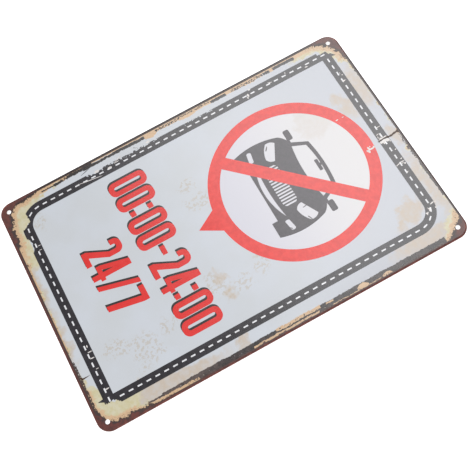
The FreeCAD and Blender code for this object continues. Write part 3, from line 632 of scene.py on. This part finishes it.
def bitten_ink(effects, name, tones, grain):
    """A cloudy ink that is gone, down to the worn sheet, where it is bitten."""
    material, tree, shader = new_material(name)
    worn = use(tree, effects["worn"])
    ink = use(tree, effects["ink"], Dark=tones[0], Light=tones[1], Grain=grain)
    gone = use(tree, effects["bitten"]).outputs["Gone"]
    lay_ink(tree, shader, ink, blend(tree, gone, ink.outputs["Color"], worn.outputs["Color"]))
    return material


def rusty_tin(effects):
    """The sheet: printed on its outside, and bare dull tin behind and within the rolled edge."""
    material, tree, shader = new_material("rusty tin")
    worn = use(tree, effects["worn"])
    place = use(tree, effects["place"]).outputs["Place"]
    here = add(tree, "ShaderNodeTexCoord").outputs["Object"]
    _, _, z = split(tree, stretch(tree, here, 1 / MM))

    edge = inset(tree, place, (0.0, 0.0), (HALF_WIDTH, HALF_LENGTH), CORNER_RADIUS)
    sideways = work_out(tree, "MAXIMUM", work_out(tree, "SUBTRACT", ROLL_RADIUS, edge), 0.0)
    upwards = work_out(tree, "SUBTRACT", z, ROLL_RADIUS)
    squares = [work_out(tree, "POWER", part, 2.0) for part in (sideways, upwards)]
    from_bend = work_out(tree, "SQRT", work_out(tree, "ADD", *squares))
    mid_wall = ROLL_RADIUS - TIN_THICKNESS / 2
    printed = rise(tree, from_bend, mid_wall - 0.05, mid_wall + 0.05)

    tarnish = mottle(tree, place, 22.0, detail=5.0, roughness=0.65).outputs[0]
    tin = blend(tree, rise(tree, tarnish, 0.45, 0.7), colour(168, 168, 166), colour(132, 122, 112))
    spots = mottle(tree, place, 2.6, detail=3.0, roughness=0.7).outputs[0]
    tin = blend(tree, rise(tree, spots, 0.66, 0.74), tin, colour(106, 70, 52))
    feed(tree, shader.inputs["Base Color"], blend(tree, printed, tin, worn.outputs["Color"]))
    bare = work_out(tree, "SUBTRACT", 1.0, printed)
    feed(tree, shader.inputs["Metallic"], both_of(tree, bare, rise(tree, spots, 0.72, 0.64)))
    rolled = rise(tree, edge, 1.1, 0.6)
    rough = work_out(tree, "MULTIPLY_ADD", rolled, EDGE_ROUGHER, worn.outputs["Roughness"])
    feed(tree, shader.inputs["Roughness"], rough)
    add_bump(tree, shader, worn.outputs["Height"], PAINT_BUMP)
    return material


def dress(node, material):
    """Gives a carried-over node its finish."""
    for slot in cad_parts[node].material_slots:
        slot.material = material


def finish_surfaces():
    """Gives every node its finish, and lays the flakes on the print."""
    effects = build_effects()
    dress("sign_plate", rusty_tin(effects))
    dress("weathered_border_print", painted_sheet(effects, "yellowed paint"))
    dress("pale_field_print", painted_sheet(effects, "pale paint"))
    dress("frame_line_print", painted_sheet(effects, "worn black ink"))
    dress("road_print", bitten_ink(effects, "charcoal ink", CHARCOAL, grain=4.0))
    dress("road_dashes_print", bitten_ink(effects, "white ink", DASH_WHITE, grain=4.0))
    dress("roundel_print", printed_ink(effects, "red ink", RING_RED, grain=5.0, gloss=RED_GLOSS))
    dress("car_print", printed_ink(effects, "car ink", CAR_GREY, grain=5.0))
    dress("figures_print", printed_ink(effects, "figure ink", FIGURE_RED, grain=7.0))
    dress("figure_shadows_print", printed_ink(effects, "shadow ink", SHADOW_BROWN, grain=3.0))
    build_chips(printed_ink(effects, "bare paint", BARE_PAINT, grain=3.0))
    build_crack(printed_ink(effects, "crack rust", CRACK_BROWN, grain=1.5, gloss=CRACK_GLOSS))
    build_lamp_lines(printed_ink(effects, "lamp ink", LAMP_GREY, grain=2.0))
    build_spikes(printed_ink(effects, "spike ink", CHARCOAL, grain=4.0))


# Chips, the crack, the lamp lines and the spikes of ink, as thin flakes

def add_flake(x, y, width, length, turn, corners, low, high, seed):
    """One thin flake lying on the sheet: ragged with many corners, a wedge with three."""
    bpy.ops.object.select_all(action="DESELECT")
    place = (x * MM, y * MM, low)
    tilt = (0.0, 0.0, math.radians(turn))
    bpy.ops.mesh.primitive_circle_add(
        vertices=corners, radius=MM, fill_type="NGON", location=place, rotation=tilt)
    flake = bpy.context.object
    flake.dimensions = (width * MM, length * MM, 0.0)
    bpy.ops.object.transform_apply(location=True, rotation=True, scale=True)
    bpy.ops.object.mode_set(mode="EDIT")
    bpy.ops.mesh.select_all(action="SELECT")
    bpy.ops.transform.vertex_random(
        offset=RAGGEDNESS * min(width, length) * MM, uniform=0.0, normal=0.0, seed=seed)
    bpy.ops.transform.resize(value=(1.0, 1.0, 0.0), center_override=place)
    bpy.ops.mesh.extrude_region_move(TRANSFORM_OT_translate={"value": (0.0, 0.0, high - low)})
    bpy.ops.mesh.select_all(action="SELECT")
    bpy.ops.mesh.normals_make_consistent(inside=False)
    bpy.ops.object.mode_set(mode="OBJECT")
    return flake


def build_flakes(name, material, low, high, flakes):
    """A group of flakes as one piece; each is x, y, width, length, turn and, if not eight, its corners."""
    made = []
    for number, (x, y, width, length, turn, *corners) in enumerate(flakes):
        top = high + number % FLAKE_STEPS * FLAKE_STEP * MM
        sides = corners[0] if corners else FLAKE_CORNERS
        made.append(add_flake(x, y, width, length, turn, sides, low, top, number))
    bpy.ops.object.select_all(action="DESELECT")
    for flake in made:
        flake.select_set(True)
    bpy.context.view_layer.objects.active = made[0]
    bpy.ops.object.join()
    piece = bpy.context.object
    piece.name = name
    piece.data.name = name
    piece.data.materials.append(material)
    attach(piece, "root")


def build_chips(bare):
    """Bare paint showing where the road's and the ring's ink has chipped."""
    top_road = (
        (-7.1, 136.7, 0.7, 3.8, 2), (6.0, 137.2, 3.2, 3.2, 10), (5.4, 134.9, 2.3, 5.6, -4),
        (6.6, 133.6, 2.8, 1.8, 0), (5.6, 131.9, 2.2, 2.2, 12), (7.7, 138.2, 1.2, 1.1, 0),
        (0.6, 134.3, 4.4, 0.6, 3), (-1.7, 132.8, 0.7, 2.8, 6), (2.7, 134.6, 1.1, 7.4, 3),
        (0.6, 131.9, 2.2, 0.7, -8), (1.9, 133.0, 0.7, 1.5, 0), (27.2, 136.6, 0.8, 4.2, 4),
        (27.9, 132.8, 0.8, 4.2, 12), (29.3, 137.9, 1.5, 1.5, 20), (28.5, 136.3, 0.6, 1.8, 0),
        (36.2, 135.3, 1.7, 1.8, 0, 3), (15.8, 137.9, 1.0, 1.4, 0), (24.6, 137.4, 0.9, 1.6, 0),
        (-55.8, 135.6, 2.2, 2.4, 0, 3), (-61.2, 137.2, 1.0, 1.0, 0), (-63.5, 136.3, 1.4, 0.5, 0),
    )
    top_bend = (
        (66.8, 137.0, 1.0, 3.6, 8), (70.4, 132.8, 2.7, 1.0, -20), (71.7, 132.6, 0.8, 2.0, -35),
        (72.2, 129.8, 2.3, 2.3, 20, 3), (71.2, 137.5, 1.2, 1.1, 0), (69.2, 132.4, 1.4, 0.6, 0),
        (67.0, 139.6, 0.6, 1.4, 0),
    )
    left_road = (
        (-82.6, 117.0, 1.0, 3.0, 0), (-86.7, 99.8, 1.2, 0.9, 0), (-88.6, 68.2, 1.6, 2.0, 0),
        (-84.4, 65.2, 3.2, 1.6, 0), (-82.7, 64.0, 2.0, 1.2, 0), (-85.6, 85.5, 0.6, 4.0, -20),
        (-89.2, 12.0, 0.8, 1.2, 0), (-89.9, -22.0, 1.6, 3.5, 0), (-88.9, -49.0, 0.7, 8.0, 20),
        (-87.2, -51.0, 0.6, 5.0, 4), (-85.5, -57.5, 1.6, 3.4, 0), (-87.9, -68.0, 2.2, 4.5, 0),
        (-83.8, -76.0, 0.6, 22.0, -8),
    )
    low_road = (
        (40.7, -132.8, 0.8, 3.5, 0), (45.8, -133.0, 0.8, 3.5, 0), (54.5, -133.0, 0.6, 2.4, 0),
        (71.3, -133.0, 0.9, 3.8, 0), (36.0, -133.0, 2.2, 1.0, 0), (-54.5, -132.5, 0.5, 2.5, 0),
        (-50.7, -133.0, 0.5, 2.5, 0),
    )
    road = top_road + top_bend + left_road + low_road
    build_flakes("road_chips", bare, INK_TOP, CHIP_TOP, road)
    ring = (
        (6.2, 122.5, 1.6, 6.6, 2), (4.5, 121.1, 2.4, 1.4, 25), (7.7, 120.3, 2.0, 1.6, 30),
        (4.0, 122.6, 1.0, 0.9, 0), (6.3, 119.3, 1.8, 1.4, 0), (5.4, 125.2, 1.8, 1.1, 20),
        (-28.5, 118.3, 0.7, 1.6, 0), (-28.6, 113.2, 1.0, 2.2, 0),
    )
    build_flakes("ring_chips", bare, INK_TOP, CHIP_TOP, ring)


def build_crack(rust):
    """The rusty crack that runs down from the top edge, and the thin spike at the bottom edge."""
    crack = (
        (3.2, 147.2, 3.6, 3.0, 180, 3), (3.6, 144.6, 1.7, 5.4, 8), (4.2, 141.2, 1.6, 3.8, 0),
        (3.8, 138.4, 1.4, 3.2, -16), (3.5, 135.6, 0.9, 3.4, 0), (3.8, 132.0, 0.8, 5.0, 5),
        (56.3, -143.8, 1.3, 6.6, 0, 3), (55.6, -146.4, 2.2, 1.2, 0),
    )
    build_flakes("paint_crack", rust, COAT_TOP, CRACK_TOP, crack)


def build_lamp_lines(ink):
    """Thin dark strokes inside the car's lamps."""
    lines = (
        (21.2, 56.6, 0.8, 4.8, 8), (22.0, 58.9, 0.7, 2.2, -40), (31.2, 55.3, 4.6, 0.8, 24),
        (-35.5, 54.6, 4.6, 1.0, -38), (31.6, 39.2, 2.4, 0.7, 25),
    )
    build_flakes("lamp_lines", ink, COAT_TOP, STROKE_TOP, lines)


def build_spikes(charcoal):
    """Points of the road's ink that run out past its worn corners and left edge."""
    spikes = (
        (-81.6, 139.8, 3.4, 4.2, -35, 3), (77.6, -139.6, 3.0, 5.2, 172, 3),
        (-79.0, -131.6, 1.4, 1.6, 160, 3), (-92.4, -76.0, 0.45, 10.0, 16),
        (-90.6, -33.0, 0.5, 4.0, -30, 3),
    )
    build_flakes("ink_spikes", charcoal, COAT_TOP, STROKE_TOP, spikes)


# The studio

def build_floor():
    """A wide pale floor just below the sheet, with a glow for the camera and for reflections."""
    height = SHEET_LOW[2] - FLOOR_GAP
    bpy.ops.mesh.primitive_plane_add(size=FLOOR_SIZE, location=(0, 0, height))
    floor = bpy.context.object
    floor.name = "floor"
    material, tree, shader = new_material("pale floor", gloss=0.0)
    shader.inputs["Base Color"].default_value = FLOOR_COLOUR
    shader.inputs["Roughness"].default_value = FLOOR_ROUGHNESS
    rays = add(tree, "ShaderNodeLightPath")
    glow = add(tree, "ShaderNodeEmission")
    glow.inputs["Color"].default_value = WHITE_LIGHT
    kinds = ("Is Camera Ray", "Is Glossy Ray", "Is Transmission Ray")
    seen = any_of(tree, *(rays.outputs[kind] for kind in kinds))
    feed(tree, glow.inputs["Strength"], work_out(tree, "MULTIPLY", seen, FLOOR_GLOW))
    both = add(tree, "ShaderNodeAddShader")
    feed(tree, both.inputs[0], shader.outputs[0])
    feed(tree, both.inputs[1], glow.outputs[0])
    surface = next(item for item in tree.nodes if item.type == "OUTPUT_MATERIAL")
    feed(tree, surface.inputs["Surface"], both.outputs[0])
    floor.data.materials.append(material)


def add_lamp(name, place, target, size, turn, power):
    """A soft rectangular lamp, its first side turned by some degrees from the sheet's width."""
    bpy.ops.object.light_add(type="AREA")
    lamp = bpy.context.object
    lamp.name = name
    lamp.data.shape = "RECTANGLE"
    lamp.data.size = size[0] * MM
    lamp.data.size_y = size[1] * MM
    lamp.data.energy = power
    back = (Vector(place) - Vector(target)).normalized()
    along = Vector((math.cos(math.radians(turn)), math.sin(math.radians(turn)), 0.0))
    up = back.cross(along).normalized()
    turned = Matrix((up.cross(back), up, back)).transposed().to_4x4()
    lamp.matrix_world = Matrix.Translation(Vector(place) * MM) @ turned


def build_light():
    """An even sky, a large lamp that the paint mirrors as a sheen, and a low one at the side."""
    world = bpy.data.worlds.new("studio")
    bpy.context.scene.world = world
    world.use_nodes = True
    sky = next(item for item in world.node_tree.nodes if item.type == "BACKGROUND")
    sky.inputs["Color"].default_value = WHITE_LIGHT
    sky.inputs["Strength"].default_value = SKY_STRENGTH
    add_lamp(
        "sheen lamp", place=(-1401, 986, 3000), target=(0, 60, 0), size=(1879, 1568), turn=11, power=42.6)
    add_lamp("side lamp", place=(900, -700, 900), target=(0, 0, 0), size=(900, 900), turn=0, power=9.0)


def build_camera():
    """The camera at the photograph's place."""
    bpy.ops.object.camera_add()
    camera = bpy.context.object
    camera.name = "photograph camera"
    back = -Vector(CAMERA_VIEW).normalized()
    right = Vector(CAMERA_UP).cross(back).normalized()
    up = back.cross(right)
    turned = Matrix((right, up, back)).transposed().to_4x4()
    camera.matrix_world = Matrix.Translation(Vector(CAMERA_PLACE) * MM) @ turned
    camera.data.lens = CAMERA_LENS
    camera.data.sensor_width = SENSOR_WIDTH
    camera.data.clip_start = 10 * MM
    bpy.context.scene.camera = camera


bpy.ops.object.select_all(action="DESELECT")
finish_surfaces()
build_floor()
build_light()
build_camera()
bpy.context.scene.view_settings.view_transform = "Standard"
